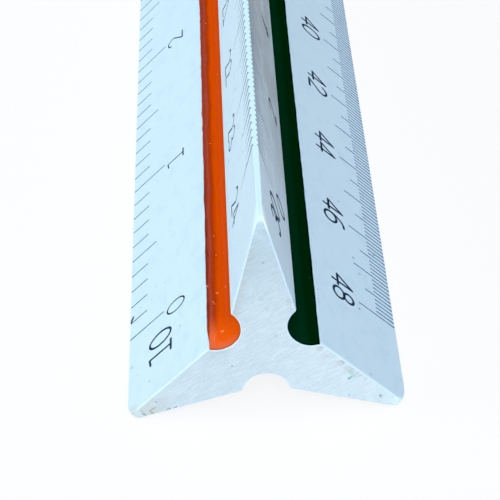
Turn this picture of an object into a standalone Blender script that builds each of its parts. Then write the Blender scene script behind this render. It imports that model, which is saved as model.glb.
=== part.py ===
"""Twelve-inch engineer's triangular scale, cut from one extruded bar of white plastic.

The bar lies along Y on the edges of its two lower arms, with the third arm standing up. Its section has three
arms with blunt tips. Between two arms is a face: a half-round groove along the middle, and on each side a flat
facet that rises from the groove to a tip. Each of the six facets carries one scale. A mark is a V-shaped cut
that is deepest at the tip, where it leaves through the blunt edge and notches it, and runs out to nothing at
its inner end. The cuts on both sides of an arm give its edge the look of a fine twisted cord.
"""

import math

import bmesh
import bpy
from mathutils import Vector

MM = 0.001
INCH = 25.4 * MM

# The bar
SCALE_LENGTH = 304.8 * MM  # from the first mark of every scale to its last
END_MARGIN = 11.1 * MM  # bare bar beyond the first and the last mark
FACE_ACROSS = 25.4 * MM  # over the blunt tips of two arms
TIP_FLAT = 0.55 * MM  # width of the blunt edge
FACET_TILT = math.radians(15.8)  # how far a facet falls from the tips towards its groove
GROOVE_RADIUS = 2.2 * MM
GROOVE_WEB = 2.75 * MM  # from the bar's axis to the floor of a groove
LIP_RADIUS = 0.25 * MM  # rounding where a facet turns into the groove
END_EDGE = 0.15 * MM  # rounding all round the sawn ends
TIP_CORNER = 0.8 * MM  # rounding of each tip where it meets an end

# The marks
MARK_WIDTH = 0.16 * MM
MARK_DEPTH = 0.12 * MM  # at the tip, square to the facet
LONG_MARK = 4.8 * MM  # every tenth, where a number stands
MIDDLE_MARK = 3.6 * MM  # every fifth
SHORT_MARK = 2.4 * MM
FINEST_CUT = 0.6 * MM  # scales divided finer than this have only their long marks cut

# Divisions to the inch of the scales on the two facets of each face, in the order in which the facets follow
# one another anticlockwise round the near end, and whether the scale starts at that end.
FACES = (
    {"turn": 30, "scales": ((40, False), (30, True)), "groove": "green_paint"},
    {"turn": 150, "scales": ((20, False), (10, True)), "groove": "orange_paint"},
    {"turn": 270, "scales": ((60, False), (50, True)), "groove": "white_plastic"},
)
ARM_TURN = math.radians(60)  # from the middle of a face to the arms beside it

# How finely the round parts are divided
GROOVE_STEPS = 12
LIP_STEPS = 2
EDGE_STEPS = 1
CORNER_STEPS = 2

MATERIALS = {
    "white_plastic": {"colour": (0.80, 0.88, 0.92, 1), "roughness": 0.38, "metallic": 0.0},
    "orange_paint": {"colour": (0.78, 0.11, 0.012, 1), "roughness": 0.25, "metallic": 0.0},
    "green_paint": {"colour": (0.002, 0.03, 0.014, 1), "roughness": 0.25, "metallic": 0.0},
}

PAINTS = list(MATERIALS)
half_flat = TIP_FLAT / 2
tip_reach = (FACE_ACROSS / 2 - half_flat * math.cos(ARM_TURN)) / math.sin(ARM_TURN)
axis_height = tip_reach * math.cos(ARM_TURN) + half_flat * math.sin(ARM_TURN)
bar_length = SCALE_LENGTH + 2 * END_MARGIN


def facet_height(inset):
    """How far out the plane of a facet, moved in by the inset, passes the middle of its face."""
    corner_out = tip_reach * math.cos(ARM_TURN) + half_flat * math.sin(ARM_TURN)
    corner_along = tip_reach * math.sin(ARM_TURN) - half_flat * math.cos(ARM_TURN)
    return corner_out - corner_along * math.tan(FACET_TILT) - inset / math.cos(FACET_TILT)


def lip_centre():
    """Centre of the rounding that touches the facet and the groove, as distances out and along the face."""
    slope = math.tan(FACET_TILT)
    groove_out = GROOVE_WEB + GROOVE_RADIUS
    start = facet_height(LIP_RADIUS) - groove_out
    a = 1 + slope * slope
    b = 2 * slope * start
    c = start * start - (GROOVE_RADIUS + LIP_RADIUS) ** 2
    along = (-b + math.sqrt(b * b - 4 * a * c)) / (2 * a)
    return groove_out + start + slope * along, along


def arc(centre, radius, start, end, steps):
    """Points round a centre, as distances out and along the face."""
    turns = [start + (end - start) * k / steps for k in range(steps + 1)]
    return [(centre[0] + radius * math.cos(t), centre[1] + radius * math.sin(t)) for t in turns]


def half_face(inset, cut_back):
    """Outline of half a face from the floor of its groove to the corner of the blunt tip.

    The inset moves the whole outline in, and the cut back shortens the arm.
    """
    lip = lip_centre()
    groove = (GROOVE_WEB + GROOVE_RADIUS, 0.0)
    lip_turn = math.atan2(lip[1], lip[0] - groove[0])
    points = arc(groove, GROOVE_RADIUS + inset, math.pi, lip_turn, GROOVE_STEPS // 2)
    points += arc(lip, LIP_RADIUS - inset, lip_turn - math.pi, -FACET_TILT, LIP_STEPS)[1:]
    middle = facet_height(inset)
    reach = tip_reach - inset - cut_back
    along = (reach - middle * math.cos(ARM_TURN)) / (
        math.sin(ARM_TURN) + math.tan(FACET_TILT) * math.cos(ARM_TURN)
    )
    return points + [(middle + along * math.tan(FACET_TILT), along)]


def way(face, out, along):
    """A direction given as distances out of a face and along it, in the bar's axes."""
    turn = math.radians(face["turn"])
    return Vector(
        (out * math.cos(turn) - along * math.sin(turn), 0, out * math.sin(turn) + along * math.cos(turn))
    )


def section(inset, cut_back, y):
    """The bar's outline at y, as one list of points for each face, each from tip to tip."""
    half = half_face(inset, cut_back)
    points = [(out, -along) for out, along in reversed(half)] + half[1:]
    axis = Vector((0, y, axis_height))
    return [[axis + way(face, out, along) for out, along in points] for face in FACES]


def rounding(distance, radius):
    """How far an edge of that radius has fallen back at a distance from where it ends."""
    rest = radius - distance
    return radius - math.sqrt(radius * radius - rest * rest) if rest > 0 else 0.0


def stations():
    """Distances from an end at which the outline changes: the rounding of its edge and of its tips."""
    steps = {0.0}
    for radius, count in ((END_EDGE, EDGE_STEPS), (TIP_CORNER, CORNER_STEPS)):
        steps |= {radius * (1 - math.cos(math.pi / 2 * k / count)) for k in range(1, count + 1)}
    return sorted(steps)


def marks(divisions, starts_near):
    """A scale's marks from the near end to the far one: place, length and whether a whole inch ends there."""
    spacing = INCH / divisions
    step = 1 if spacing >= FINEST_CUT else 10
    found = []
    for k in range(0, math.floor(SCALE_LENGTH / spacing + 0.001) + 1, step):
        length = LONG_MARK if k % 10 == 0 else MIDDLE_MARK if k % 5 == 0 else SHORT_MARK
        y = k * spacing - SCALE_LENGTH / 2
        found.append((y if starts_near else -y, length, k % divisions == 0))
    return sorted(found)


class Facet:
    """One facet between the long rings of points, with its scale cut into it.

    side is -1 for the facet on the clockwise side of its groove and 1 for the other one.
    """

    def __init__(self, mesh, face, side, scale, tip_ends, lip_ends):
        inward = way(face, -math.sin(FACET_TILT), -side * math.cos(FACET_TILT))
        outward = way(face, math.cos(FACET_TILT), -side * math.sin(FACET_TILT))
        across_flat = way(face, -math.sin(ARM_TURN), side * math.cos(ARM_TURN))
        floor_step = across_flat * (MARK_DEPTH / -across_flat.dot(outward))
        half_mark = Vector((0, MARK_WIDTH / 2, 0))
        self.tip_ends, self.lip_ends, self.lip, self.cuts = tip_ends, lip_ends, [], []
        for y, length, inch in marks(*scale):
            edge = Vector((tip_ends[0].co.x, y, tip_ends[0].co.z))
            first, last = mesh.verts.new(edge - half_mark), mesh.verts.new(edge + half_mark)
            inner, floor = mesh.verts.new(edge + inward * length), mesh.verts.new(edge + floor_step)
            mesh.faces.new((first, inner, floor))
            mesh.faces.new((inner, last, floor))
            self.cuts.append((first, last, inner, floor, inch))
            if inch:
                self.lip.append(mesh.verts.new(Vector((lip_ends[0].co.x, y, lip_ends[0].co.z))))
        lip_line = self.lip_line()
        for start, end, run in zip(lip_line, lip_line[1:], self.edge_runs(2)):
            mesh.faces.new([start, *run, end])

    def lip_line(self):
        return [self.lip_ends[0], *self.lip, self.lip_ends[1]]

    def edge_runs(self, deep):
        """The notched edge of the tip in one list of points for each inch.

        deep is the place in a cut of the point that the surface sees between its two sides: 2 for its inner
        end on the facet, and 3 for its floor on the blunt edge.
        """
        runs = [[self.tip_ends[0]]]
        for cut in self.cuts:
            runs[-1] += [cut[0], cut[deep]]
            if cut[4]:
                runs.append([cut[deep]])
            runs[-1].append(cut[1])
        runs[-1].append(self.tip_ends[1])
        return runs


def add_plain_run(mesh, near, far):
    """Joins two outlines near an end, where there are no marks."""
    for k, (face, near_face, far_face) in enumerate(zip(FACES, near, far)):
        after = (k + 1) % len(FACES)
        groove = range(1, len(near_face) - 2)
        for n in range(len(near_face) - 1):
            strip = mesh.faces.new((near_face[n], near_face[n + 1], far_face[n + 1], far_face[n]))
            strip.material_index = PAINTS.index(face["groove"]) if n in groove else 0
        mesh.faces.new((near_face[-1], near[after][0], far[after][0], far_face[-1]))


def add_marked_run(mesh, near, far):
    """Joins the two outlines between which the scales lie."""
    facets = []
    for face, near_face, far_face in zip(FACES, near, far):
        pair = []
        for side, tip, lip, groove in ((-1, 0, 1, 2), (1, -1, -2, -3)):
            scale = face["scales"][len(pair)]
            ends = (near_face[tip], far_face[tip]), (near_face[lip], far_face[lip])
            pair.append(Facet(mesh, face, side, scale, *ends))
            strip = mesh.faces.new([*pair[-1].lip_line(), far_face[groove], near_face[groove]])
            strip.material_index = PAINTS.index(face["groove"])
        for n in range(2, len(near_face) - 3):
            strip = mesh.faces.new((near_face[n], near_face[n + 1], far_face[n + 1], far_face[n]))
            strip.material_index = PAINTS.index(face["groove"])
        facets.append(pair)
    for k, pair in enumerate(facets):
        beyond = facets[(k + 1) % len(facets)][0]
        for run, run_beyond in zip(pair[1].edge_runs(3), beyond.edge_runs(3)):
            mesh.faces.new([*run, *reversed(run_beyond)])


def build_bar():
    """One closed body: rounded ends, grooves, and facets with their marks."""
    mesh = bmesh.new()
    rings = []
    for side, distances in ((-1, stations()), (1, stations()[::-1])):
        for distance in distances:
            y = side * (bar_length / 2 - distance)
            outline = section(rounding(distance, END_EDGE), rounding(distance, TIP_CORNER), y)
            rings.append([[mesh.verts.new(point) for point in points] for points in outline])
    for number, (near, far) in enumerate(zip(rings, rings[1:]), start=1):
        if number == len(stations()):
            add_marked_run(mesh, near, far)
        else:
            add_plain_run(mesh, near, far)
    for ring in (rings[0], rings[-1]):
        mesh.faces.new([point for points in ring for point in points])
    bmesh.ops.recalc_face_normals(mesh, faces=mesh.faces)
    bmesh.ops.triangulate(mesh, faces=mesh.faces, quad_method="BEAUTY", ngon_method="BEAUTY")
    data = bpy.data.meshes.new("scale_body")
    mesh.to_mesh(data)
    mesh.free()
    return data


def material(name):
    look = MATERIALS[name]
    made = bpy.data.materials.new(name)
    made.use_nodes = True
    shader = made.node_tree.nodes["Principled BSDF"]
    shader.inputs["Base Color"].default_value = look["colour"]
    shader.inputs["Roughness"].default_value = look["roughness"]
    shader.inputs["Metallic"].default_value = look["metallic"]
    return made


def main():
    for old in list(bpy.data.objects):
        bpy.data.objects.remove(old)
    data = build_bar()
    for name in PAINTS:
        data.materials.append(material(name))
    data.shade_smooth()
    data.set_sharp_from_angle(angle=math.radians(20))
    body = bpy.data.objects.new("scale_body", data)
    bpy.context.scene.collection.objects.link(body)


main()
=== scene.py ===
"""Looks of the twelve-inch engineer's triangular scale.

The bar is made finer than its solid, from the same sizes, with all six scales cut and the wear of its near
end. Geometry Nodes lay the dark filling into the cuts and sweep the strokes of the numbers. Each scale is
drawn flat in a frame of its own, which starts at its zero on the tip's edge: X is the way its numbers are
read, Y points out to the tip and Z out of the facet.
"""

import math
from collections import namedtuple

import bmesh
import bpy
from mathutils import Matrix, Vector


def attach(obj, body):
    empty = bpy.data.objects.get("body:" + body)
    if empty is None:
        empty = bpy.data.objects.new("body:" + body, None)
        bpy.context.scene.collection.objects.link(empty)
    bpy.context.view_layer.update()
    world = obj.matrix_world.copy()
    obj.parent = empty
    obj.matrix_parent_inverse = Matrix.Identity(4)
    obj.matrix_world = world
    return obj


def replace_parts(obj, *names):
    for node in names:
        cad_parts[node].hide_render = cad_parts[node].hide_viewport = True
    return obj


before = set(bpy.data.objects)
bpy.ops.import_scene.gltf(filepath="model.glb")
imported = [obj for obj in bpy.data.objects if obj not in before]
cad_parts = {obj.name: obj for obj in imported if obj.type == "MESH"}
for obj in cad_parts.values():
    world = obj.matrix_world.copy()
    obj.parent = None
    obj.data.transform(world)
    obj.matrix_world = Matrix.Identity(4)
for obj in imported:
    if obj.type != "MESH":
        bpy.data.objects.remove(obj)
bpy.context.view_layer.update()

MM = 0.001
INCH = 25.4 * MM

# The bar, with the sizes of its solid
SCALE_LENGTH = 304.8 * MM
END_MARGIN = 11.1 * MM
FACE_ACROSS = 25.4 * MM
TIP_FLAT = 0.55 * MM
FACET_TILT = math.radians(15.8)
GROOVE_RADIUS = 2.2 * MM
GROOVE_WEB = 2.75 * MM
LIP_RADIUS = 0.25 * MM
END_EDGE = 0.15 * MM
TIP_CORNER = (0.8 * MM, 0.8 * MM)  # length and depth of the rounding of a tip at the far end
WORN_CORNERS = ((4 * MM, 0.05 * MM), (1.6 * MM, 1.05 * MM), (2.3 * MM, 1 * MM))  # near end: top, left, right
NOSE = 0.85  # how much of half a tip's flat is rounded off where the tip ends
ARM_TURN = math.radians(60)
GROOVE_STEPS = 40
LIP_STEPS = 6
EDGE_STEPS = 4
CORNER_STEPS = 10
NOSE_STEPS = 6
TOGETHER = 1e-8  # points nearer than this are one
RING_GAP = 0.015 * MM  # outlines lie at least this far apart
STRAIGHT = 0.99999  # cosine above which two directions are one
SHARP_TURN = math.radians(20)  # an edge that turns more than this stays sharp

# The marks, with the lengths of the solid's cuts
LONG_MARK = 4.8 * MM
MIDDLE_MARK = 3.6 * MM
SHORT_MARK = 2.4 * MM
UNIT = 10  # divisions from one long mark to the next
HALF_UNIT = 5  # divisions from a long mark to the next middle one

# The filling of the cuts and the strokes
FILL_THICK = 0.05 * MM
FILL_PROUD = 0.004 * MM
FILL_START = 0.06 * MM  # how far from the tip's edge the filling starts
STROKE_SIDES = 12  # of the round ends of a stroke
BOW_STEP = 12  # degrees between the points of a digit's bows
LEAST_BOW_STEPS = 4
CLOSED_GAP = 0.0001 * MM  # a stroke whose ends are nearer than this is a ring

# Numbers, in millimetres: height, width and gap of the digits, width of the stroke, how far the digits' tops
# stay from the tip's edge, and how far a number's middle lies past its mark, against the way of reading
PLAIN_NUMBERS = {"height": 2.6, "width": 1.65, "gap": 0.45, "stroke": 0.2, "drop": 5.6, "back": 0.3}
LABEL = {"height": 2.9, "width": 1.8, "gap": 0.3, "stroke": 0.27, "drop": 2.9, "back": 4.7}

# Divisions to the inch, whether the scale starts at the near end, every how many units of ten divisions a
# number stands, then in millimetres the width of its filled lines, width and depth of its cuts at the tip,
# and what its numbers and its label have of their own
Scale = namedtuple("Scale", "divisions starts_near numbered line cut numbers label", defaults=({},))
SCALES = {
    "10": Scale(10, True, 1, 0.16, (0.2, 0.12), {
        "height": 2.35, "width": 1.6, "stroke": 0.18, "drop": 5.3, "back": 0.6}),
    "20": Scale(20, False, 1, 0.06, (0.44, 0.18), {"drop": 5.9, "back": 0.7, "stroke": 0.22}),
    "30": Scale(30, True, 2, 0.08, (0.34, 0.15), {"drop": 6.2, "back": -0.6, "stroke": 0.34}, {
        "drop": 3.6, "back": 3.7, "stroke": 0.42}),
    "40": Scale(40, False, 2, 0.17, (0.24, 0.12), {"stroke": 0.31}),
    "50": Scale(50, True, 2, 0.13, (0.22, 0.12), {"stroke": 0.24}),
    "60": Scale(60, False, 2, 0.11, (0.2, 0.12), {"stroke": 0.24}),
}

# The way each face looks, the scales of its two facets, anticlockwise round the near end, and the finish of
# its groove
Face = namedtuple("Face", "turn scales groove")
FACES = (
    Face(math.radians(30), ("40", "30"), "green paint"),
    Face(math.radians(150), ("20", "10"), "orange paint"),
    Face(math.radians(270), ("60", "50"), "white plastic"),
)

arm_sin, arm_cos = math.sin(ARM_TURN), math.cos(ARM_TURN)
tilt_sin, tilt_cos, tilt_tan = math.sin(FACET_TILT), math.cos(FACET_TILT), math.tan(FACET_TILT)
half_flat = TIP_FLAT / 2
tip_reach = (FACE_ACROSS / 2 - half_flat * arm_cos) / arm_sin
axis_height = tip_reach * arm_cos + half_flat * arm_sin
axis = Vector((0, 0, axis_height))
corner_along = tip_reach * arm_sin - half_flat * arm_cos  # from a face's middle
groove_out = GROOVE_WEB + GROOVE_RADIUS  # from the axis to a groove's centre
bar_length = SCALE_LENGTH + 2 * END_MARGIN
near_end = -bar_length / 2
near_top = Vector((0, near_end, axis_height + tip_reach))


def facet_height(inset):
    """How far out the plane of a facet, moved in by the inset, passes the middle of its face."""
    return axis_height - corner_along * tilt_tan - inset / tilt_cos


def lip_centre():
    """Centre of the rounding that touches the facet and the groove, as distances out and along the face."""
    start = facet_height(LIP_RADIUS) - groove_out
    a = 1 + tilt_tan * tilt_tan
    b = 2 * tilt_tan * start
    c = start * start - (GROOVE_RADIUS + LIP_RADIUS) ** 2
    along = (-b + math.sqrt(b * b - 4 * a * c)) / (2 * a)
    return groove_out + start + tilt_tan * along, along


def arc(centre, radii, start, end, steps):
    """Points on an ellipse round a centre."""
    turns = [start + (end - start) * k / steps for k in range(steps + 1)]
    return [(centre[0] + radii[0] * math.cos(t), centre[1] + radii[1] * math.sin(t)) for t in turns]


def half_face(inset, cut_back, nose):
    """Half a face's outline, from the floor of its groove to the corner of the tip, which the nose rounds."""
    lip = lip_centre()
    lip_turn = math.atan2(lip[1], lip[0] - groove_out)
    bore = (GROOVE_RADIUS + inset, GROOVE_RADIUS + inset)
    edge = (LIP_RADIUS - inset, LIP_RADIUS - inset)
    points = arc((groove_out, 0), bore, math.pi, lip_turn, GROOVE_STEPS // 2)
    points += arc(lip, edge, lip_turn - math.pi, -FACET_TILT, LIP_STEPS)[1:]
    middle = facet_height(inset)
    reach = tip_reach - inset - cut_back
    slant = arm_sin + tilt_tan * arm_cos
    along = (reach - middle * arm_cos) / slant
    return points + rounded_corner((middle + along * tilt_tan, along), nose)


def rounded_corner(corner, nose):
    """Points from the facet to the tip's flat, round their corner. They fall together where the nose is 0."""
    round_off = nose * (corner[0] * arm_sin - corner[1] * arm_cos)
    facet = (-tilt_sin, -tilt_cos)
    flat = (-arm_sin, arm_cos)
    points = []
    for k in range(NOSE_STEPS + 1):
        on_facet, on_flat = round_off * (1 - k / NOSE_STEPS) ** 2, round_off * (k / NOSE_STEPS) ** 2
        points.append(tuple(c + on_facet * f + on_flat * g for c, f, g in zip(corner, facet, flat)))
    return points


def way(face, out, along):
    """A direction given as distances out of a face and along it, in the bar's axes."""
    cos, sin = math.cos(face.turn), math.sin(face.turn)
    return Vector((out * cos - along * sin, 0, out * sin + along * cos))


def section(inset, tips, y):
    """The bar's outline at y: each face's points from tip to tip. Each tip has its cut-back and nose."""
    middle = Vector((0, y, axis_height))
    outline = []
    for number, face in enumerate(FACES):
        before = half_face(inset, *tips[number - 1])
        after = half_face(inset, *tips[number])
        points = [(out, -along) for out, along in reversed(before)] + after[1:]
        outline.append([middle + way(face, out, along) for out, along in points])
    return outline


def rounding(distance, length, depth):
    """How far an edge has fallen back at a distance from where it ends."""
    rest = 1 - distance / length
    return depth * (1 - math.sqrt(1 - rest * rest)) if rest > 0 else 0.0


def worn_tip(distance, corner):
    """How far a tip has fallen back at a distance from its end, and how much of its flat is rounded off."""
    return rounding(distance, *corner), NOSE * max(0.0, 1 - distance / corner[0])


def ring_places(corners):
    """Distances from an end at which its outlines stand."""
    curves = [(END_EDGE, EDGE_STEPS)] + [(length, CORNER_STEPS) for length, _ in corners]
    wanted = []
    for length, count in curves:
        wanted += [length * (1 - math.cos(math.pi / 2 * k / count)) for k in range(count + 1)]
    places = []
    for distance in sorted(wanted):
        if not places or distance - places[-1] > RING_GAP:
            places.append(distance)
    return places


def rings():
    """The outlines from the near end to the far one, and how many of them belong to the near end."""
    made = []
    for side, corners in ((-1, WORN_CORNERS), (1, (TIP_CORNER,) * 3)):
        for distance in sorted(ring_places(corners), reverse=side > 0):
            tips = [worn_tip(distance, corner) for corner in corners]
            inset = rounding(distance, END_EDGE, END_EDGE)
            made.append(section(inset, tips, side * (bar_length / 2 - distance)))
        if side < 0:
            near_count = len(made)
    return made, near_count


def marks(scale):
    """A scale's marks from the near end to the far one: place, length and whether a whole inch ends there."""
    found = []
    for k in range(round(SCALE_LENGTH / INCH) * scale.divisions + 1):
        length = LONG_MARK if k % UNIT == 0 else MIDDLE_MARK if k % HALF_UNIT == 0 else SHORT_MARK
        y = k * INCH / scale.divisions - SCALE_LENGTH / 2
        found.append((y if scale.starts_near else -y, length, k % scale.divisions == 0))
    return sorted(found)


def facet_ways(face, side):
    """Directions of a facet: in from the tip, and out of the plastic. side is -1 or 1, as in its face."""
    inward = way(face, -tilt_sin, -side * tilt_cos)
    outward = way(face, tilt_cos, -side * tilt_sin)
    return inward, outward


def tip_edge(face, side):
    """A point of the facet's tip edge, halfway along the bar."""
    return axis + way(face, axis_height, side * corner_along)


def facet_frame(face, side, scale):
    """The frame that a scale is drawn in."""
    inward, outward = facet_ways(face, side)
    reading = (-inward).cross(outward)
    zero = -SCALE_LENGTH / 2 if scale.starts_near else SCALE_LENGTH / 2
    turned = Matrix((reading, -inward, outward)).transposed().to_4x4()
    return Matrix.Translation(tip_edge(face, side) + Vector((0, zero, 0))) @ turned


class Facet:
    """One facet between the two outlines that its scale lies between, with the scale cut into it."""

    def __init__(self, mesh, face, side, scale, tip_ends, lip_ends, cut_slot):
        inward, outward = facet_ways(face, side)
        across_flat = way(face, -arm_sin, side * arm_cos)
        width, depth = scale.cut
        floor_step = across_flat * (depth * MM / -across_flat.dot(outward))
        half_mark = Vector((0, width * MM / 2, 0))
        self.tip_ends, self.lip_ends, self.lip, self.cuts = tip_ends, lip_ends, [], []
        for y, length, inch in marks(scale):
            edge = Vector((tip_ends[0].co.x, y, tip_ends[0].co.z))
            first, last = mesh.verts.new(edge - half_mark), mesh.verts.new(edge + half_mark)
            inner, floor = mesh.verts.new(edge + inward * length), mesh.verts.new(edge + floor_step)
            for corners in ((first, inner, floor), (inner, last, floor)):
                mesh.faces.new(corners).material_index = cut_slot
            self.cuts.append((first, last, inner, floor, inch))
            if inch:
                self.lip.append(mesh.verts.new(Vector((lip_ends[0].co.x, y, lip_ends[0].co.z))))
        lip_line = self.lip_line()
        for start, end, run in zip(lip_line, lip_line[1:], self.edge_runs(2)):
            mesh.faces.new([start, *run, end])

    def lip_line(self):
        return [self.lip_ends[0], *self.lip, self.lip_ends[1]]

    def edge_runs(self, deep):
        """The notched edge in one list of points for each inch, along the facet (2) or the tip's flat (3)."""
        runs = [[self.tip_ends[0]]]
        for cut in self.cuts:
            runs[-1] += [cut[0], cut[deep]]
            if cut[4]:
                runs.append([cut[deep]])
            runs[-1].append(cut[1])
        runs[-1].append(self.tip_ends[1])
        return runs


def add_points(mesh, points):
    """Vertices for an outline's points, one for those that fall together."""
    verts = []
    for n, point in enumerate(points):
        same = n > 0 and (point - points[n - 1]).length < TOGETHER
        verts.append(verts[-1] if same else mesh.verts.new(point))
    return verts


def add_plain_run(mesh, near, far, slots):
    """Joins two outlines near an end, where there are no marks."""
    for number, (face, near_face, far_face) in enumerate(zip(FACES, near, far)):
        after = (number + 1) % len(FACES)
        groove = range(NOSE_STEPS + 1, len(near_face) - 2 - NOSE_STEPS)
        for n in range(len(near_face) - 1):
            corners = dict.fromkeys((near_face[n], near_face[n + 1], far_face[n + 1], far_face[n]))
            if len(corners) > 2:
                strip = mesh.faces.new(list(corners))
                strip.material_index = slots.index(face.groove) if n in groove else 0
        mesh.faces.new((near_face[-1], near[after][0], far[after][0], far_face[-1]))


def add_marked_run(mesh, near, far, slots):
    """Joins the two outlines between which the scales lie."""
    facets = []
    for face, near_face, far_face in zip(FACES, near, far):
        near_face, far_face = list(dict.fromkeys(near_face)), list(dict.fromkeys(far_face))
        pair = []
        for side, tip, lip, groove in ((-1, 0, 1, 2), (1, -1, -2, -3)):
            scale = SCALES[face.scales[len(pair)]]
            ends = (near_face[tip], far_face[tip]), (near_face[lip], far_face[lip])
            pair.append(Facet(mesh, face, side, scale, *ends, slots.index("cut plastic")))
            strip = mesh.faces.new([*pair[-1].lip_line(), far_face[groove], near_face[groove]])
            strip.material_index = slots.index(face.groove)
        for n in range(2, len(near_face) - 3):
            strip = mesh.faces.new((near_face[n], near_face[n + 1], far_face[n + 1], far_face[n]))
            strip.material_index = slots.index(face.groove)
        facets.append(pair)
    for number, pair in enumerate(facets):
        beyond = facets[(number + 1) % len(facets)][0]
        for run, run_beyond in zip(pair[1].edge_runs(3), beyond.edge_runs(3)):
            mesh.faces.new([*run, *reversed(run_beyond)])


def bar_mesh(slots):
    """One closed body: rounded ends, grooves, and facets with their marks."""
    mesh = bmesh.new()
    outlines, near_count = rings()
    made = [[add_points(mesh, points) for points in outline] for outline in outlines]
    for number, (near, far) in enumerate(zip(made, made[1:]), start=1):
        if number == near_count:
            add_marked_run(mesh, near, far, slots)
        else:
            add_plain_run(mesh, near, far, slots)
    for ring in (made[0], made[-1]):
        end = mesh.faces.new([point for points in ring for point in points])
        end.material_index = slots.index("sawn plastic")
    bmesh.ops.recalc_face_normals(mesh, faces=mesh.faces)
    bmesh.ops.triangulate(mesh, faces=mesh.faces, quad_method="BEAUTY", ngon_method="BEAUTY")
    flats = [facet_ways(face, side)[1] for face in FACES for side in (-1, 1)]
    flats += [Vector((0, 1, 0)), Vector((0, -1, 0))]
    for face in mesh.faces:
        face.smooth = all(face.normal.dot(flat) < STRAIGHT for flat in flats)
    for edge in mesh.edges:
        paints = {face.material_index for face in edge.link_faces}
        edge.smooth = len(paints) == 1 and edge.calc_face_angle(0) < SHARP_TURN
    data = bpy.data.meshes.new("bar")
    mesh.to_mesh(data)
    mesh.free()
    return data


class Value:
    """A number in a node tree. Arithmetic on it adds Math nodes."""

    def __init__(self, graph, socket):
        self.graph, self.socket = graph, socket

    def __add__(self, other):
        return self.graph.math("ADD", self, other)

    def __sub__(self, other):
        return self.graph.math("SUBTRACT", self, other)

    def __rsub__(self, other):
        return self.graph.math("SUBTRACT", other, self)

    def __mul__(self, other):
        return self.graph.math("MULTIPLY", self, other)

    def __truediv__(self, other):
        return self.graph.math("DIVIDE", self, other)

    def __rtruediv__(self, other):
        return self.graph.math("DIVIDE", other, self)

    __radd__ = __add__
    __rmul__ = __mul__


class Graph:
    """The nodes of one material or one Geometry Nodes tree."""

    def __init__(self, tree):
        self.tree = tree

    def node(self, kind, settings=None, values=None):
        """A new node. Settings are set first; values are numbers, colours, sockets or Values, by socket."""
        made = self.tree.nodes.new(kind)
        for name, setting in (settings or {}).items():
            if name == "stops":
                set_stops(made.color_ramp, setting)
            else:
                setattr(made, name, setting)
        self.fill(made, values or {})
        return made

    def fill(self, node, values):
        """Sets a node's sockets, or links them."""
        for name, value in values.items():
            if isinstance(value, Value):
                value = value.socket
            if isinstance(value, bpy.types.NodeSocket):
                self.tree.links.new(value, node.inputs[name])
            else:
                node.inputs[name].default_value = value

    def out(self, kind, settings=None, values=None, output=0):
        """What a new node gives."""
        return self.node(kind, settings, values).outputs[output]

    def number(self, *given):
        """A number that a new node gives."""
        return Value(self, self.out(*given))

    def math(self, operation, *numbers):
        return self.number("ShaderNodeMath", {"operation": operation}, dict(enumerate(numbers)))


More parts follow.
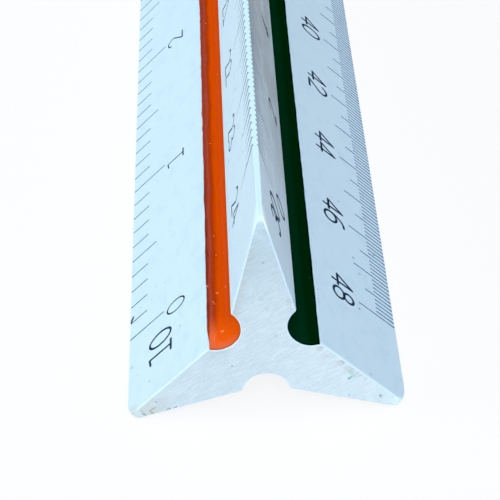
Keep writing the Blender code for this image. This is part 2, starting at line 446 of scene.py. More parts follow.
class Look(Graph):
    """A material, with the patterns that several finishes use. Places are Object coordinates in metres."""

    def __init__(self, name):
        self.surface = SURFACES[name]
        self.material = bpy.data.materials.new(name)
        self.material.use_nodes = True
        super().__init__(self.material.node_tree)
        self.shader = self.tree.nodes["Principled BSDF"]
        self.place = self.node("ShaderNodeTexCoord").outputs["Object"]

    def noise(self, size, detail=2.0, rough=0.5, stretch=(1, 1, 1), turn=0.0):
        """Clouds of about that size, drawn out along X, Y or Z after the axes are turned about Y."""
        values = {"Vector": self.place, "Rotation": (0, turn, 0), "Scale": [size * s for s in stretch]}
        drawn = self.out("ShaderNodeMapping", {"vector_type": "TEXTURE"}, values)
        values = {"Vector": drawn, "Scale": 1.0, "Detail": detail, "Roughness": rough}
        return self.number("ShaderNodeTexNoise", {}, values, "Fac")

    def smooth(self, value, low, high):
        """0 at low and 1 at high, with a soft run between them. low may be the larger one."""
        settings = {"interpolation_type": "SMOOTHSTEP", "clamp": True}
        flip = low > high
        ends = (high, low) if flip else (low, high)
        values = {"Value": value, "From Min": ends[0], "From Max": ends[1]}
        run = self.number("ShaderNodeMapRange", settings, values, "Result")
        return 1 - run if flip else run

    def between(self, value, low, full, still, high):
        """1 from full to still, and 0 up to low and from high on."""
        return self.smooth(value, low, full) * self.smooth(value, high, still)

    def mix(self, factor, first, second):
        """A colour between two others."""
        return self.out("ShaderNodeMix", {"data_type": "RGBA"}, {0: factor, 6: first, 7: second}, 2)

    def scaled(self, colour, factor):
        """A colour made darker or paler."""
        return self.out("ShaderNodeVectorMath", {"operation": "SCALE"}, {0: colour, "Scale": factor})

    def vectors(self, operation, first, second, output=0):
        """Vector Math on two vectors."""
        return self.out("ShaderNodeVectorMath", {"operation": operation}, {0: first, 1: second}, output)

    def distance(self, point, place=None):
        """How far a place lies from a point."""
        return Value(self, self.vectors("DISTANCE", place or self.place, point, "Value"))

    def along(self, direction, start=(0, 0, 0)):
        """How far a place lies along a direction from a start."""
        gap = self.vectors("SUBTRACT", self.place, start)
        return Value(self, self.vectors("DOT_PRODUCT", gap, direction, "Value"))

    def flecks(self, spacing, radius, share):
        """Small round spots in some cells of a random pattern."""
        cells = self.node("ShaderNodeTexVoronoi", {}, {"Vector": self.place, "Scale": 1 / spacing})
        pick = self.number("ShaderNodeSeparateColor", {}, {"Color": cells.outputs["Color"]}, "Red")
        near = self.smooth(Value(self, cells.outputs["Distance"]) * spacing, radius, radius * 0.5)
        return near * self.math("LESS_THAN", pick, share)

    def spots(self, places, noise, ragged):
        """Spots, each given by its place and radius. A noise frays their edges, by as much as ragged says."""
        masks = 0
        for place, radius in places:
            gap = self.distance(place) / radius
            masks = self.math("MAXIMUM", self.smooth(gap + ragged * (noise - 0.5), 1.3, 0.4), masks)
        return masks

    def from_end(self):
        """How far a place lies from the near end."""
        return self.along((0, 1, 0), (0, near_end, 0))

    def near(self, full, gone):
        """1 up to a distance from the near end, and 0 from another on."""
        return self.smooth(self.from_end(), gone, full)

    def under_facet(self, name):
        """How deep a place lies under a scale's facet."""
        face, side = facet_of(name)
        return 0 - self.along(facet_ways(face, side)[1], tip_edge(face, side))

    def finish(self, colour, uneven, height):
        """Joins a colour, a roughness and a relief to the shader, by the finish's row in SURFACES. uneven and
        height are patterns from about 0 to 1."""
        gloss, roughness, rougher, relief = self.surface
        bump = self.out("ShaderNodeBump", {}, {"Height": height, "Distance": relief, "Strength": 1.0})
        self.fill(self.shader, {"Specular IOR Level": gloss, "Base Color": colour,
                                "Roughness": roughness + rougher * uneven, "Normal": bump})
        return self.material


def set_stops(ramp, stops):
    """Gives a ramp its stops, each with its place and colour."""
    for element, (position, colour) in zip(ramp.elements, stops):
        element.position, element.color = position, colour
    for position, colour in stops[len(ramp.elements):]:
        ramp.elements.new(position).color = colour


# Each finish: how strongly it mirrors, where 0.5 is plain plastic, its roughness, how much rougher it gets
# where it is uneven, and the height of its relief
SURFACES = {
    "white plastic": (0.25, 0.36, 0.1, 0.006 * MM),
    "sawn plastic": (0.25, 0.45, 0.1, 0.008 * MM),
    "cut plastic": (0.25, 0.45, 0.1, 0.004 * MM),
    "orange paint": (0.0, 0.25, 0.16, 0.02 * MM),
    "green paint": (0.0, 0.25, 0.16, 0.02 * MM),
    "number ink": (0.02, 0.5, 0.15, 0.004 * MM),
    "line ink": (0.02, 0.5, 0.15, 0.004 * MM),
}

# The tones of the finishes
PLASTIC = (0.59, 0.78, 0.93, 1)
PLASTIC_PALE = (0.63, 0.81, 0.94, 1)
# Pale plastic of worn tips and of the ridge's worn end, partly painted highlight, then a painted highlight on
# that end right of the ridge
PLASTIC_WORN_AND_LIT = (0.70, 0.92, 0.99, 1)
PLASTIC_HIGHLIGHT = (0.82, 0.98, 1.0, 1)
# A painted highlight on the orange paint's bare first lip
LIP_HIGHLIGHT = (0.87, 0.88, 0.94, 1)
# A greyer tone for the facet right of the ridge, darker away from the near end
PLASTIC_GREYED = (0.30, 0.37, 0.42, 1)
GREY_FLECK = (0.30, 0.40, 0.48, 1)
SAWN_MIDDLE = (0.58, 0.71, 0.785, 1)
SAWN_LIGHT = (0.625, 0.76, 0.835, 1)
SAWN_WORN = (0.66, 0.82, 0.87, 1)
# Dirt and painted shadow along the upper arm's edges on the end face
SAWN_BEIGE = (0.46, 0.55, 0.58, 1)
SAWN_SOILED = (0.57, 0.64, 0.61, 1)
SAWN_SHADE = (0.485, 0.63, 0.71, 1)
SAWN_BLUE = (0.535, 0.70, 0.81, 1)
# Painted shade in the cuts of the marks
CUT_SHADE = (0.36, 0.46, 0.53, 1)
PLASTIC_CLOUD = (0.52, 0.71, 0.88, 1)
ORANGE = (0.73, 0.088, 0.001, 1)
ORANGE_WARM = (0.80, 0.09, 0.012, 1)
# Painted light on the orange paint near the end, and there a painted rosy highlight along its second lip and
# its rim
ORANGE_LIT = (0.86, 0.115, 0.003, 1)
ORANGE_ROSY_HIGHLIGHT = (0.84, 0.155, 0.045, 1)
# Painted shade on the orange paint's wall under its second lip, from half shade to deep brown, and a painted
# rosy reflection in it
ORANGE_HALF_SHADE = (0.61, 0.072, 0.001, 1)
ORANGE_SHADE = (0.46, 0.050, 0.001, 1)
ORANGE_BROWN_SHADE = (0.365, 0.054, 0.024, 1)
ORANGE_ROSE_REFLECTION = (0.41, 0.082, 0.052, 1)
# Grain tone of the orange paint, and its outline: a painted shadow along its second lip and round its end
ORANGE_GRAIN_AND_SHADOW = (0.16, 0.017, 0.010, 1)
ORANGE_FLECK = (0.9, 0.42, 0.25, 1)
GREEN = (0.0, 0.032, 0.011, 1)
# Painted light on the green paint near the end
GREEN_LIT = (0.0, 0.042, 0.014, 1)
# Painted shade on the green paint's wall under its first lip
GREEN_SHADE = (0.0, 0.019, 0.003, 1)
# Grain tone of the green paint, and near-black painted shadow along its first lip and round its end
GREEN_GRAIN_AND_SHADOW = (0.0, 0.002, 0.0005, 1)
# Painted glints on the green paint
TEAL_GLINT = (0.0, 0.09, 0.065, 1)
INK = (0.003, 0.014, 0.03, 1)
INK_PALE = (0.014, 0.05, 0.11, 1)
LINE_INK = (0.03, 0.085, 0.22, 1)
LINE_INK_PALE = (0.08, 0.18, 0.36, 1)
BROWN_DIRT = (0.36, 0.37, 0.37, 1)
SPECK_GREY = (0.10, 0.17, 0.22, 1)
PINK_SMEAR = (0.55, 0.55, 0.82, 1)
SAW_SLANT = math.radians(-33)  # the saw lines rise to the right

# Dirt on the sawn near end: its tone, how frayed it is, then X, Z and radius of its spots in millimetres
END_DIRT = (
    ((0.36, 0.30, 0.24, 1), 2.0, (
        (-10.5, 0.9, 0.1), (-10.6, 1.05, 0.1), (-10.52, 1.2, 0.1), (-10.35, 1.32, 0.1), (-10.36, 0.82, 0.1),
        (-10.16, 1.42, 0.08))),
    ((0.30, 0.33, 0.31, 1), 2.5, (
        (-11.2, 0.75, 0.16), (-11.1, 0.6, 0.1), (-11.35, 1.1, 0.1), (-10.0, 2.1, 0.1))),
    ((0.19, 0.24, 0.28, 1), 2.5, (
        (-9.0, 1.14, 0.14), (-8.86, 1.24, 0.13), (-8.42, 1.28, 0.12), (-8.3, 1.38, 0.12),
        (-8.2, 1.46, 0.08))),
    ((0.36, 0.42, 0.47, 1), 2.0, ((-2.99, 5.88, 0.12), (0.12, 17.1, 0.12))),
    ((0.40, 0.62, 0.62, 1), 2.0, ((7.62, 4.5, 0.26), (7.5, 4.8, 0.14), (7.85, 4.1, 0.24))),
    ((0.49, 0.62, 0.69, 1), 3.0, ((-0.17, 13.23, 0.3), (0.99, 9.06, 0.24), (0.3, 12.1, 0.2))),
    ((0.03, 0.33, 0.29, 1), 1.0, ((7.4, 3.76, 0.11), (7.52, 3.84, 0.13), (7.66, 3.95, 0.09))),
    ((0.15, 0.36, 0.47, 1), 1.5, ((10.3, 1.62, 0.16), (10.34, 1.46, 0.12), (7.46, 1.85, 0.1))),
    ((0.80, 0.86, 0.88, 1), 4.5, ((2.72, 12.25, 0.2), (2.6, 12.5, 0.14), (-2.95, 8.05, 0.16))),
)

# Grey specks on the facets, a short black dash on the left edge and a pink smear on the right facet: tone,
# strength and how frayed they are, then for each scale their spots' place from the near end, distance in from
# the tip and radius in millimetres
STAINS = (
    (SPECK_GREY, 0.75, 4.5, {
        "10": ((6.7, 0.4, 0.13), (15.0, 1.4, 0.1), (15.2, 1.6, 0.08), (12.0, 4.5, 0.09), (16.2, 3.6, 0.09),
               (2.5, 2.9, 0.1), (6.8, 7.1, 0.09)),
        "20": ((28.9, 5.0, 0.18), (21.4, 4.6, 0.2), (17.8, 3.3, 0.18), (18.9, 7.2, 0.16), (21.7, 8.7, 0.18),
               (11.6, 2.5, 0.16), (15.0, 3.3, 0.15), (4.8, 6.0, 0.13)),
        "40": ((10.0, 4.8, 0.12), (18.3, 4.8, 0.13), (16.2, 4.1, 0.1), (21.6, 1.5, 0.12), (21.9, 1.9, 0.1),
               (11.7, 0.4, 0.16), (11.8, 0.75, 0.18), (27.0, 5.9, 0.12))}),
    (INK, 1.0, 1.0, {
        "10": ((13.75, 0.06, 0.18), (13.93, 0.15, 0.22), (14.12, 0.24, 0.23), (14.3, 0.33, 0.2),
               (14.46, 0.41, 0.14))}),
    (PINK_SMEAR, 0.7, 4.5, {"40": ((0.58, 4.55, 0.2), (0.8, 4.4, 0.14))}),
)

# Light flecks on the orange paint: place from the near end in millimetres, turn round the groove in degrees
# from its bottom, and radius in millimetres
ORANGE_FLECKS = ((9.39, 78.6, 0.13), (8.38, 54.7, 0.13), (7.05, 64.9, 0.1), (6.75, 61.5, 0.07),
                 (14.36, 54.2, 0.08), (2.55, 45.7, 0.16), (2.6, 43, 0.1), (17.51, 57.8, 0.07))

# The paint of a groove: its face, how far its edges stray, and its tones round the groove, from the first
# facet's lip to the second one's, with painted shade on a wall in shade and, on the orange, a painted
# reflection. Near the end they turn into two tones of painted light, the second one for the second lip and
# the rim. dark is the tone of its grain and of its outline, a painted shadow, sheen that of its flecks, which
# on the green are painted glints. Then how white a painted highlight makes its bare first lip, and how dark
# its outline, a painted shadow, is at the end.
Paint = namedtuple("Paint", "face wave tones near_tones dark sheen flecks lip_white end_line")
PAINTS = {
    "orange paint": Paint(
        FACES[1], 0.07 * MM, (
            (0.0, ORANGE_WARM), (0.08, ORANGE), (0.66, ORANGE), (0.71, ORANGE_WARM), (0.755, ORANGE),
            (0.82, ORANGE), (0.86, ORANGE_HALF_SHADE), (0.885, ORANGE_SHADE), (0.905, ORANGE_SHADE),
            (0.925, ORANGE_BROWN_SHADE), (0.95, ORANGE_ROSE_REFLECTION), (0.98, ORANGE_BROWN_SHADE)),
        (ORANGE_LIT, ORANGE_ROSY_HIGHLIGHT), ORANGE_GRAIN_AND_SHADOW, ORANGE_FLECK, ORANGE_FLECKS, 0.7, 0.5),
    "green paint": Paint(
        FACES[0], 0.03 * MM, (
            (0.0, GREEN_GRAIN_AND_SHADOW), (0.015, GREEN_GRAIN_AND_SHADOW), (0.03, GREEN_SHADE), (0.14, GREEN_SHADE), (0.25, GREEN),
            (1.0, GREEN)),
        (GREEN, GREEN_LIT), GREEN_GRAIN_AND_SHADOW, TEAL_GLINT, (), 0.0, 1.0),
}
INKS = {"number ink": (INK, INK_PALE), "line ink": (LINE_INK, LINE_INK_PALE)}

# Where the facet right of the ridge is greyed, in streaky clouds: from, fully, still fully, and to, from the
# near end
GREYED_SPAN = (0 * MM, 34 * MM, 70 * MM, 230 * MM)


def facet_of(name):
    """The face and the side on which a scale lies."""
    for face in FACES:
        for side, scale in zip((-1, 1), face.scales):
            if scale == name:
                return face, side


def facet_place(name, y, from_tip):
    """A place on a scale's facet, given in millimetres from the near end and in from the tip."""
    face, side = facet_of(name)
    inward = facet_ways(face, side)[0]
    return tip_edge(face, side) + from_tip * MM * inward + Vector((0, near_end + y * MM, 0))


def worn_tips(look):
    """1 on the flats of the three tips and on their rounded ends."""
    radius = look.distance(axis, look.vectors("MULTIPLY", look.place, (1, 0, 1)))
    reach = 0
    for face in FACES:
        tip = way(face, arm_cos, arm_sin)
        reach = look.math("MAXIMUM", look.along(tip, axis), reach)
    aside = look.math("SQRT", look.math("MAXIMUM", radius * radius - reach * reach, 0))
    wedge = half_flat + (tip_reach - reach) * math.tan(math.pi / 2 - ARM_TURN - FACET_TILT)
    on_flat = look.smooth(wedge - aside, 0.01 * MM, 0.05 * MM)
    return on_flat * look.smooth(reach, tip_reach - 1.6 * MM, tip_reach - 1.3 * MM)


def white_colour(look):
    """Bare plastic: faint clouds and grey flecks pressed into it."""
    colour = look.mix(look.noise(8 * MM, 3), PLASTIC, PLASTIC_PALE)
    clouds = look.smooth(look.noise(1.6 * MM, 5, 0.65, stretch=(1, 1.6, 1)), 0.48, 0.72)
    colour = look.mix(0.55 * clouds, colour, PLASTIC_CLOUD)
    flecks = look.flecks(2.4 * MM, 0.16 * MM, 0.2) * look.noise(0.4 * MM, 2)
    return look.mix(flecks, colour, GREY_FLECK)


def rubbed(look, colour):
    """A colour made paler by wear and by painted highlight: the tips, worn and with a painted highlight on
    their flats, faintly the lower near edges, a painted highlight, and the ridge's near end, worn and with a
    painted highlight, brightest on its right. The left tip is soiled instead."""
    # Painted highlight on the lower near edges; wear and painted highlight on the tips' flats and the ridge's
    # end
    edge = 0.15 * look.near(0.12 * MM, 0.36 * MM) * look.smooth(look.along((0, 0, 1)), 11 * MM, 9 * MM)
    flare = look.smooth(look.distance(near_top), 2.4 * MM, 0.6 * MM)
    worn = look.math("MAXIMUM", worn_tips(look), look.math("MAXIMUM", edge, flare))
    to_left_tip = look.distance(facet_place("10", 0, 0.3))
    colour = look.mix(0.6 * look.smooth(to_left_tip, 1.5 * MM, 0.6 * MM), colour, SAWN_SOILED)
    colour = look.mix(worn * look.smooth(to_left_tip, 0.8 * MM, 2.6 * MM), colour, PLASTIC_WORN_AND_LIT)
    return look.mix(flare * look.smooth(look.along((1, 0, 0)), 0, half_flat), colour, PLASTIC_HIGHLIGHT)


def grime(look):
    """How grey a place of the facet right of the ridge is made, in streaky clouds along the bar."""
    across = look.along(way(FACES[0], 0, 1), axis)
    facet = look.smooth(across, GROOVE_RADIUS, GROOVE_RADIUS + 0.3 * MM)
    facet *= look.smooth(look.along((1, 0, 0)), half_flat, half_flat + 0.05 * MM)
    clouds = look.noise(2.2 * MM, 4, 0.65, stretch=(1, 3, 1))
    return facet * look.between(look.from_end(), *GREYED_SPAN) * look.smooth(clouds, 0.05, 0.6)


def white_plastic():
    look = Look("white plastic")
    drawn = look.noise(1.1 * MM, 3, 0.6, stretch=(1, 30, 1))
    grain = look.noise(0.3 * MM, 2)
    colour = rubbed(look, look.mix(grime(look), white_colour(look), PLASTIC_GREYED))
    for tone, strength, ragged, spots in STAINS:
        places = []
        for name, rows in spots.items():
            places += [(facet_place(name, y, inset), radius * MM) for y, inset, radius in rows]
        colour = look.mix(strength * look.spots(places, grain, ragged), colour, tone)
    return look.finish(colour, grain, drawn + 0.4 * grain)


def cut_plastic():
    """The cuts of the marks, in a darker tone of painted shade, mottled with grey."""
    look = Look("cut plastic")
    grain = look.noise(0.3 * MM, 2)
    return look.finish(look.mix(grain, CUT_SHADE, GREY_FLECK), grain, grain)


def sawn_plastic():
    """The end faces: fine slanting saw lines over tones that change from place to place, and dirt."""
    look = Look("sawn plastic")
    lines = look.noise(0.16 * MM, 3, 0.6, stretch=(9, 1, 1), turn=SAW_SLANT)
    clouds = look.noise(1.3 * MM, 4, 0.6)
    pores = look.noise(0.12 * MM, 2)
    grain = 0.5 * look.smooth(lines, 0.36, 0.66) + 0.3 * look.smooth(pores, 0.35, 0.65)
    grain += 0.2 * look.smooth(clouds, 0.25, 0.75)
    colour = look.scaled(sawn_tones(look), 0.89 + 0.22 * grain)
    return look.finish(sawn_dirt(look, colour), lines, lines)


def sawn_tones(look):
    """The end faces' tones: light to the right, greyer and then blue up the upper arm and beige along its
    edges, partly dirt and partly painted shadow under their rims, soiled in the left tip, and pale where the
    right tip is worn and where the ridge is worn, with painted highlight there."""
    height, aside = look.along((0, 0, 1)), look.along((1, 0, 0))
    left_tip, right_tip = facet_place("10", 0, 0.6), facet_place("40", 0, 0.6)
    colour = look.mix(look.smooth(aside, -2 * MM, 8 * MM), SAWN_MIDDLE, SAWN_LIGHT)
    colour = look.mix(look.smooth(height, 10 * MM, 19 * MM), colour, SAWN_SHADE)
    streak = look.math("ABSOLUTE", look.along((0.45, 0, 0.89), (0, near_end, 19.85 * MM)))
    streak = 0.7 * look.smooth(streak, 0.55 * MM, 0.1 * MM) * look.smooth(look.noise(0.5 * MM, 3), 0.3, 0.6)
    blue = look.math("MAXIMUM", look.smooth(height, 19.8 * MM, 21.6 * MM), streak)
    colour = look.mix(blue, colour, SAWN_BLUE)
    # Beige along the upper arm's edges: dirt, and painted shadow under their rims
    left = look.smooth(look.under_facet("20"), 1.3 * MM, 0.1 * MM)
    left *= look.between(height, 6.5 * MM, 8 * MM, 18 * MM, 19.2 * MM)
    right = 0.6 * look.smooth(look.under_facet("30"), 1 * MM, 0.1 * MM)
    right *= look.between(height, 7.5 * MM, 8.5 * MM, 12.5 * MM, 14 * MM)
    blotches = look.smooth(look.noise(0.6 * MM, 4, 0.7), 0.1, 0.8)
    colour = look.mix(look.math("MAXIMUM", left, right) * blotches, colour, SAWN_BEIGE)
    soiled = look.smooth(look.distance(left_tip), 4.5 * MM, 1.5 * MM) * blotches
    colour = look.mix(soiled, colour, SAWN_SOILED)
    colour = look.mix(look.smooth(look.distance(right_tip), 2 * MM, 0.9 * MM), colour, SAWN_WORN)
    return look.mix(look.smooth(look.distance(near_top), 0.9 * MM, 0.35 * MM), colour, PLASTIC_WORN_AND_LIT)


def sawn_dirt(look, colour):
    """An end face's colour with the near one's dirt: short marks along its right rim, and spots."""
    noise = look.noise(0.3 * MM, 4, 0.75)
    band = look.between(look.under_facet("40"), 0.1 * MM, 0.2 * MM, 0.2 * MM, 1.1 * MM)
    band *= look.between(look.along((1, 0, 0)), 4.3 * MM, 4.7 * MM, 7 * MM, 11.5 * MM)
    ticks = look.smooth(look.noise(0.22 * MM, 3, 0.6, stretch=(3.5, 1, 1), turn=SAW_SLANT), 0.48, 0.6)
    colour = look.mix(0.6 * band * ticks * look.near(0.5 * MM, 1 * MM), colour, BROWN_DIRT)
    for tone, ragged, spots in END_DIRT:
        places = [(Vector((x * MM, near_end, z * MM)), radius * MM) for x, z, radius in spots]
        colour = look.mix(0.85 * look.spots(places, noise, ragged), colour, tone)
    return colour


def paint_edge(look, out, wave):
    """1 where a groove is bare: outside its ragged paint edge on the lips, and at the very end."""
    rim = groove_out + (lip_centre()[0] - groove_out) * GROOVE_RADIUS / (GROOVE_RADIUS + LIP_RADIUS)
    ragged = look.noise(0.9 * MM, 2, 0.5, stretch=(1, 2.5, 1)) - 0.5
    waves = look.noise(4 * MM, 3, 0.6) - 0.5
    lips = look.smooth(out + 0.12 * MM * ragged + wave * waves, rim - 0.04 * MM, rim + 0.02 * MM)
    end = look.smooth(look.from_end() + 0.08 * MM * ragged, 0.09 * MM, 0.05 * MM)
    return look.math("MAXIMUM", lips, end)


def fleck_places(paint):
    """Places and radii of a paint's own flecks, on the wall of its groove."""
    places = []
    for y, degrees, radius in paint.flecks:
        round_wall = math.radians(degrees)
        place = way(paint.face, groove_out - GROOVE_RADIUS * math.cos(round_wall),
                    GROOVE_RADIUS * math.sin(round_wall))
        places.append((place + Vector((0, near_end + y * MM, axis_height)), radius * MM))
    return places


def paint_colour(look, paint, round_groove, grain):
    """The paint's tones round its groove, with painted shade, and its painted light near the end, under its
    grain, its outline, a painted shadow, and its flecks.
    """
    ramp = look.out("ShaderNodeValToRGB", {"stops": paint.tones}, {"Fac": round_groove}, "Color")
    # Painted light near the end: lit tones, the second one along the second lip and the rim
    rim = look.near(0.4 * MM, 1.6 * MM) * look.smooth(round_groove, 0.4, 0.7)
    end_light_tone = look.mix(look.math("MAXIMUM", look.smooth(round_groove, 0.86, 0.92), rim), *paint.near_tones)
    near = look.near(1.6 * MM, 5.4 * MM) * look.smooth(round_groove, 0.1, 0.6)
    colour = look.mix(near, ramp, end_light_tone)
    colour = look.mix(0.14 * look.smooth(grain, 0.4, 0.7), colour, paint.dark)
    # A painted shadow: a dark outline along the paint's edge at the second lip, and round the end
    left = 0.7 * look.smooth(round_groove, 0.98, 1.0) * look.near(20 * MM, 34 * MM)
    outline = look.math("MAXIMUM", left, paint.end_line * look.near(0.12 * MM, 0.3 * MM))
    colour = look.mix(outline, colour, paint.dark)
    colour = look.mix(look.flecks(1.1 * MM, 0.1 * MM, 0.2) * 0.75, colour, paint.sheen)
    return look.mix(0.6 * look.spots(fleck_places(paint), grain, 2), colour, paint.sheen)


def painted(name, paint):
    """Paint in a groove, with bare plastic past its edges and a painted highlight on its bare first lip."""
    look = Look(name)
    out, aside = look.along(way(paint.face, 1, 0), axis), look.along(way(paint.face, 0, 1), axis)
    lip = lip_centre()
    widest = math.pi - math.atan2(lip[1], lip[0] - groove_out)
    streaks = look.noise(0.6 * MM, 4, 0.65, stretch=(1, 9, 1)) - 0.5
    grain = look.noise(0.16 * MM, 3, 0.7)
    round_groove = 0.5 + look.math("ARCTAN2", aside, groove_out - out) / (2 * widest)
    round_groove += 0.12 * streaks + 0.03 * (grain - 0.5)
    colour = paint_colour(look, paint, round_groove, grain)
    spill = look.smooth(round_groove, 0.5, 0.9) * look.smooth(look.from_end(), 0.3 * MM, 3 * MM)
    bare = paint_edge(look, out - 2 * paint.wave * spill, paint.wave)
    # A painted highlight whitens the bare first lip, except at the very end
    white = look.smooth(look.from_end(), 0.1 * MM, 0.3 * MM) * look.smooth(round_groove, 1.0, 0.6)
    plastic = look.mix(paint.lip_white * white, white_colour(look), LIP_HIGHLIGHT)
    height = 0.5 * look.noise(2.4 * MM, 3, stretch=(1, 3, 1)) - 1.5 * bare
    return look.finish(look.mix(bare, colour, plastic), look.noise(1.5 * MM, 2) + 0.625 * bare, height)


def ink(name, dark, pale):
    """Ink that has dried unevenly."""
    look = Look(name)
    colour = look.mix(look.smooth(look.noise(0.9 * MM, 2), 0.35, 0.65), dark, pale)
    grain = look.noise(0.25 * MM, 2)
    return look.finish(colour, grain, grain)


def finishes():
    """Every finish of the ruler, by name."""
    made = {"white plastic": white_plastic(), "sawn plastic": sawn_plastic(), "cut plastic": cut_plastic()}
    made.update({name: painted(name, paint) for name, paint in PAINTS.items()})
    made.update({name: ink(name, *tones) for name, tones in INKS.items()})
    return made


def placed(name, data):
    """A new object in the scene."""
    made = bpy.data.objects.new(name, data)
    bpy.context.scene.collection.objects.link(made)
    return made


def settle(name, data):
    """Puts a finished mesh into the scene as a piece of the bar."""
    piece = placed(name, data)
    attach(piece, "root")
    return piece


class Shape(Graph):
    """A Geometry Nodes tree with named inputs, and the mesh that it gives for some values of them."""

    def __init__(self, name, counts, sizes):
        super().__init__(bpy.data.node_groups.new(name, "GeometryNodeTree"))
        counts, sizes = counts.split(), sizes.split()
        kinds = {**dict.fromkeys(counts, "Int"), **dict.fromkeys(sizes, "Float"), "Material": "Material"}
        face = self.tree.interface
        face.new_socket("Geometry", in_out="INPUT", socket_type="NodeSocketGeometry")
        self.sockets = {}
        for label, kind in kinds.items():
            self.sockets[label] = face.new_socket(label, in_out="INPUT", socket_type="NodeSocket" + kind)
        face.new_socket("Geometry", in_out="OUTPUT", socket_type="NodeSocketGeometry")
        self.start = self.node("NodeGroupInput")
        self.given = [Value(self, self.start.outputs[label]) for label in counts + sizes]

    def vector(self, **parts):
        """A vector of some parts, with 0 for the others."""
        return self.out("ShaderNodeCombineXYZ", {}, parts)

    def moved(self, geometry, offset):
        return self.out("GeometryNodeSetPosition", {}, {"Geometry": geometry, "Offset": offset})

    def copies(self, points, piece, **values):
        """A copy of a piece on each point."""
        return self.out("GeometryNodeInstanceOnPoints", {}, {"Points": points, "Instance": piece, **values})

    def end(self, geometry):
        """Makes the result real and gives it its material."""
        real = self.out("GeometryNodeRealizeInstances", {}, {"Geometry": geometry})
        dressed = self.out("GeometryNodeSetMaterial", {},
                           {"Geometry": real, "Material": self.start.outputs["Material"]})
        self.node("NodeGroupOutput", {}, {"Geometry": dressed})

    def mesh(self, base, **values):
        """The mesh that the tree makes of an object's data."""
        carrier = placed(base.name, base)
        modifier = carrier.modifiers.new("shape", "NODES")
        modifier.node_group = self.tree
        for label, value in values.items():
            modifier[self.sockets[label].identifier] = value
        ready = carrier.evaluated_get(bpy.context.evaluated_depsgraph_get())
        data = bpy.data.meshes.new_from_object(ready)
        bpy.data.objects.remove(carrier)
        return data


def mark_filling():
    """Lays one filled line into each cut of a scale: a strip of one width, a hair proud of the facet."""
    tree = Shape("mark filling", "Count", "Spacing Short Middle Long Start Width Thick Proud")
    count, spacing, short, middle, long, start, width, thick, proud = tree.given
    rows = tree.out("GeometryNodeMeshLine", {"mode": "OFFSET"},
                    {"Count": count, "Offset": tree.vector(X=spacing)})
    index = tree.number("GeometryNodeInputIndex")
    middle_mark = 1 - tree.math("MINIMUM", tree.math("MODULO", index, HALF_UNIT), 1)
    long_mark = 1 - tree.math("MINIMUM", tree.math("MODULO", index, UNIT), 1)
    length = short + middle_mark * (middle - short) + long_mark * (long - middle)
    strip = tree.out("GeometryNodeMeshCube", {}, {"Size": tree.vector(X=width, Y=1.0, Z=thick)})
    strip = tree.moved(strip, tree.vector(Y=-0.5, Z=proud - 0.5 * thick))
    rows = tree.moved(rows, tree.vector(Y=0 - start))
    tree.end(tree.copies(rows, strip, Scale=tree.vector(X=1.0, Y=length - start, Z=1.0)))
    return tree


def stroke_sweep():
    """Sweeps a flat stroke along each curve and rounds its ends."""
    tree = Shape("stroke", "Sides", "Width Thick")
    sides, width, thick = tree.given
    curves = tree.start.outputs["Geometry"]
    profile = tree.out("GeometryNodeCurvePrimitiveQuadrilateral", {}, {"Width": width, "Height": thick})
    upright = tree.out("GeometryNodeSetCurveNormal", {"mode": "Z_UP"}, {"Curve": curves})
    swept = tree.out("GeometryNodeCurveToMesh", {},
                     {"Curve": upright, "Profile Curve": profile, "Fill Caps": True})
    ends = tree.out("GeometryNodeCurveEndpointSelection")
    disc = tree.out("GeometryNodeMeshCylinder", {},
                    {"Vertices": sides, "Radius": 0.5 * width, "Depth": thick})
    discs = tree.copies(curves, disc, Selection=ends)
    both = tree.node("GeometryNodeJoinGeometry")
    for part in (swept, discs):
        tree.tree.links.new(part, both.inputs[0])
    tree.end(both.outputs[0])
    return tree


def bow(x, y, across, up, start, end):
    """Part of an ellipse of a digit, between two turns in degrees."""
    steps = max(LEAST_BOW_STEPS, round(abs(end - start) / BOW_STEP))
    return arc((x, y), (across, up), math.radians(start), math.radians(end), steps)


def turned(strokes):
    """The strokes upside down."""
    return [[(1 - x, 1 - y) for x, y in stroke] for stroke in strokes]


# Each digit as strokes in a box one wide and one high
SIX = [bow(0.5, 0.31, 0.5, 0.31, 0, 360), bow(0.8, 0.31, 0.8, 0.69, 180, 84)]
DIGITS = {
    "0": [bow(0.5, 0.5, 0.5, 0.5, 0, 360)],
    "1": [[(0.06, 0.95), (0.52, 1)], [(0.52, 1), (0.52, 0)], [(0.1, 0), (0.92, 0)]],
    "2": [bow(0.5, 0.72, 0.47, 0.28, 165, -25), [(0.93, 0.6), (0.03, 0)], [(0.03, 0), (1, 0)]],
    "3": [bow(0.47, 0.75, 0.42, 0.25, 150, -90), bow(0.47, 0.25, 0.5, 0.25, 90, -150)],
    "4": [[(0.7, 1), (0.0, 0.27)], [(0.0, 0.27), (1, 0.27)], [(0.7, 1), (0.7, 0)]],
    "5": [[(0.92, 1), (0.18, 1)], [(0.18, 1), (0.1, 0.56)], bow(0.46, 0.32, 0.52, 0.32, 135, -150)],
    "6": SIX,
    "7": [[(0, 1), (1, 1)], [(1, 1), (0.32, 0)]],
    "8": [bow(0.5, 0.76, 0.4, 0.24, 0, 360), bow(0.5, 0.27, 0.5, 0.27, 0, 360)],
    "9": turned(SIX),
}


def written(text, middle, style):
    """A number's strokes in its scale's frame, with its middle at that distance from zero."""
    step = style["width"] + style["gap"]
    left = middle - (step * len(text) - style["gap"]) / 2
    low = -style["drop"] - style["height"]
    strokes = []
    for place, digit in enumerate(text):
        for stroke in DIGITS[digit]:
            strokes.append([
                (left + place * step + x * style["width"], low + y * style["height"]) for x, y in stroke])
    return strokes


def sized(plain, own):
    """The sizes of some digits in metres."""
    return {name: size * MM for name, size in {**plain, **own}.items()}


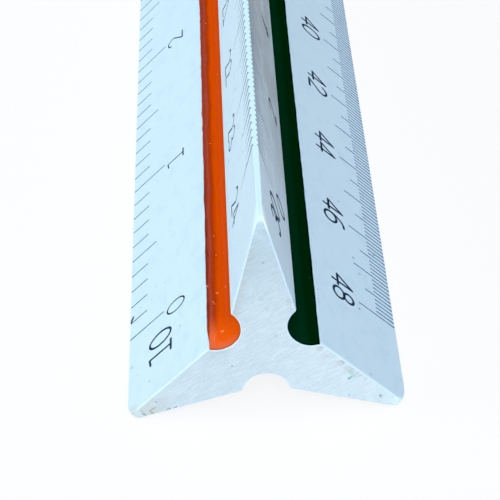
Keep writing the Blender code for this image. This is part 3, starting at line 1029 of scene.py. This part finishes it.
def scale_strokes(name, scale):
    """The strokes of a scale's name before zero and of its numbers, each with their width."""
    unit = UNIT * INCH / scale.divisions
    label, style = sized(LABEL, scale.label), sized(PLAIN_NUMBERS, scale.numbers)
    strokes = []
    for number in range(0, round(SCALE_LENGTH / unit) + 1, scale.numbered):
        strokes += written(str(number), number * unit - style["back"], style)
    return {"scale_name_": (written(name, -label["back"], label), label["stroke"]),
            "numbers_": (strokes, style["stroke"])}


def stroke_curve(name, strokes):
    """Flat curves through the strokes, with their middle a little under the facet."""
    curve = bpy.data.curves.new(name, "CURVE")
    curve.dimensions = "3D"
    depth = FILL_PROUD - FILL_THICK / 2
    for stroke in strokes:
        closed = (Vector(stroke[0]) - Vector(stroke[-1])).length < CLOSED_GAP
        points = stroke[:-1] if closed else stroke
        spline = curve.splines.new("POLY")
        spline.points.add(len(points) - 1)
        spline.use_cyclic_u = closed
        for point, (x, y) in zip(spline.points, points):
            point.co = (x, y, depth, 1)
    return curve


def add_scales(materials):
    """The filled lines and the numbers of the six facets."""
    filling, sweep = mark_filling(), stroke_sweep()
    for face in FACES:
        for side, name in zip((-1, 1), face.scales):
            scale = SCALES[name]
            place = facet_frame(face, side, scale)
            pieces = {"mark_lines_": filling.mesh(
                bpy.data.meshes.new("lines_" + name), Count=len(marks(scale)), Spacing=INCH / scale.divisions,
                Short=SHORT_MARK, Middle=MIDDLE_MARK, Long=LONG_MARK, Start=FILL_START, Width=scale.line * MM,
                Thick=FILL_THICK, Proud=FILL_PROUD, Material=materials["line ink"])}
            for kind, (strokes, width) in scale_strokes(name, scale).items():
                pieces[kind] = sweep.mesh(stroke_curve(kind + name, strokes), Width=width, Thick=FILL_THICK,
                                          Sides=STROKE_SIDES, Material=materials["number ink"])
            for kind, data in pieces.items():
                data.transform(place)
                settle(kind + name, data)


def add_bar(materials):
    slots = ["white plastic", "sawn plastic", "orange paint", "green paint", "cut plastic"]
    data = bar_mesh(slots)
    for slot in slots:
        data.materials.append(materials[slot])
    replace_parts(settle("bar", data), "scale_body")


# The camera, as it was found from the marks and the edges in the photograph
CAMERA_PLACE = Vector((-2.05 * MM, near_end - 126.8 * MM, axis_height + 102.4 * MM))
CAMERA_DOWN = 0.6244  # radians below the level
CAMERA_ASIDE = -0.0087
CAMERA_ROLL = -0.0425
FOCAL_LENGTH = 1836 / 500  # in widths of the picture
SENSOR = 36.0
NEAREST_SEEN = 0.01


def add_camera():
    camera = bpy.data.cameras.new("camera")
    camera.sensor_width = SENSOR
    camera.lens = FOCAL_LENGTH * SENSOR
    camera.clip_start = NEAREST_SEEN
    stand = placed("camera", camera)
    turn = Matrix.Rotation(CAMERA_ASIDE, 4, "Z") @ Matrix.Rotation(math.pi / 2 - CAMERA_DOWN, 4, "X")
    stand.matrix_world = Matrix.Translation(CAMERA_PLACE) @ turn @ Matrix.Rotation(CAMERA_ROLL, 4, "Z")
    bpy.context.scene.camera = stand


# Lamps, all turned to the middle of the floor: place, size, power in watts and colour
LAMPS = {
    "left": ((-1.0, -0.15, 0.32), 0.4, 4.3, (0.94, 1.0, 0.99)),
    "above": ((0.0, -0.1, 1.1), 0.8, 5.2, (0.72, 0.92, 1.0)),
    "front": ((0.0, -0.9, 0.7), 0.6, 7.4, (1.0, 0.98, 0.97)),
    "right": ((0.35, -0.5, 0.22), 0.2, 0.3, (0.8, 0.7, 1.0)),
}
SKY_COLOUR = (0.9, 0.97, 1.0, 1)
SKY_LEVEL = 0.08
FLOOR_SIZE = 8.0
FLOOR_COLOUR = (0.88, 0.9, 0.92, 1)
FLOOR_ROUGHNESS = 0.9
FLOOR_SHOWN_WHITE = 0.85  # how much of what the camera sees of the floor is plain white; the rest is lit
PLAIN_WHITE = {"Color": (1, 1, 1, 1), "Strength": 1.0}


def show_white(graph, kind, surface, share, output):
    """Lets the camera see plain white for a share of a surface, also in gloss and through glass."""
    rays = graph.node("ShaderNodeLightPath").outputs
    shown = [Value(graph, rays[name]) for name in ("Is Camera Ray", "Is Glossy Ray", "Is Transmission Ray")]
    seen = graph.math("MINIMUM", shown[0] + shown[1] + shown[2], 1)
    white = graph.out(kind, {}, PLAIN_WHITE)
    both = graph.out("ShaderNodeMixShader", {}, {0: seen * share, 1: surface.outputs[0], 2: white})
    graph.fill(graph.tree.nodes[output], {"Surface": both})


def add_floor():
    half = FLOOR_SIZE / 2
    data = bpy.data.meshes.new("floor")
    corners = [(-half, -half, 0), (half, -half, 0), (half, half, 0), (-half, half, 0)]
    data.from_pydata(corners, [], [(0, 1, 2, 3)])
    material = bpy.data.materials.new("floor")
    material.use_nodes = True
    graph = Graph(material.node_tree)
    shader = graph.tree.nodes["Principled BSDF"]
    graph.fill(shader, {"Base Color": FLOOR_COLOUR, "Roughness": FLOOR_ROUGHNESS})
    show_white(graph, "ShaderNodeEmission", shader, FLOOR_SHOWN_WHITE, "Material Output")
    data.materials.append(material)
    floor = placed("floor", data)


def add_lights():
    for name, (place, size, power, colour) in LAMPS.items():
        lamp = bpy.data.lights.new(name, "AREA")
        lamp.shape, lamp.size, lamp.energy, lamp.color = "SQUARE", size, power, colour
        stand = placed(name, lamp)
        stand.location = place
        stand.rotation_euler = (-Vector(place)).to_track_quat("-Z", "Y").to_euler()
    world = bpy.data.worlds.new("studio")
    world.use_nodes = True
    graph = Graph(world.node_tree)
    sky = graph.tree.nodes["Background"]
    graph.fill(sky, {"Color": SKY_COLOUR, "Strength": SKY_LEVEL})
    show_white(graph, "ShaderNodeBackground", sky, 1, "World Output")
    bpy.context.scene.world = world


materials = finishes()
add_bar(materials)
add_scales(materials)
add_floor()
add_lights()
add_camera()
bpy.context.scene.view_settings.view_transform = "Standard"
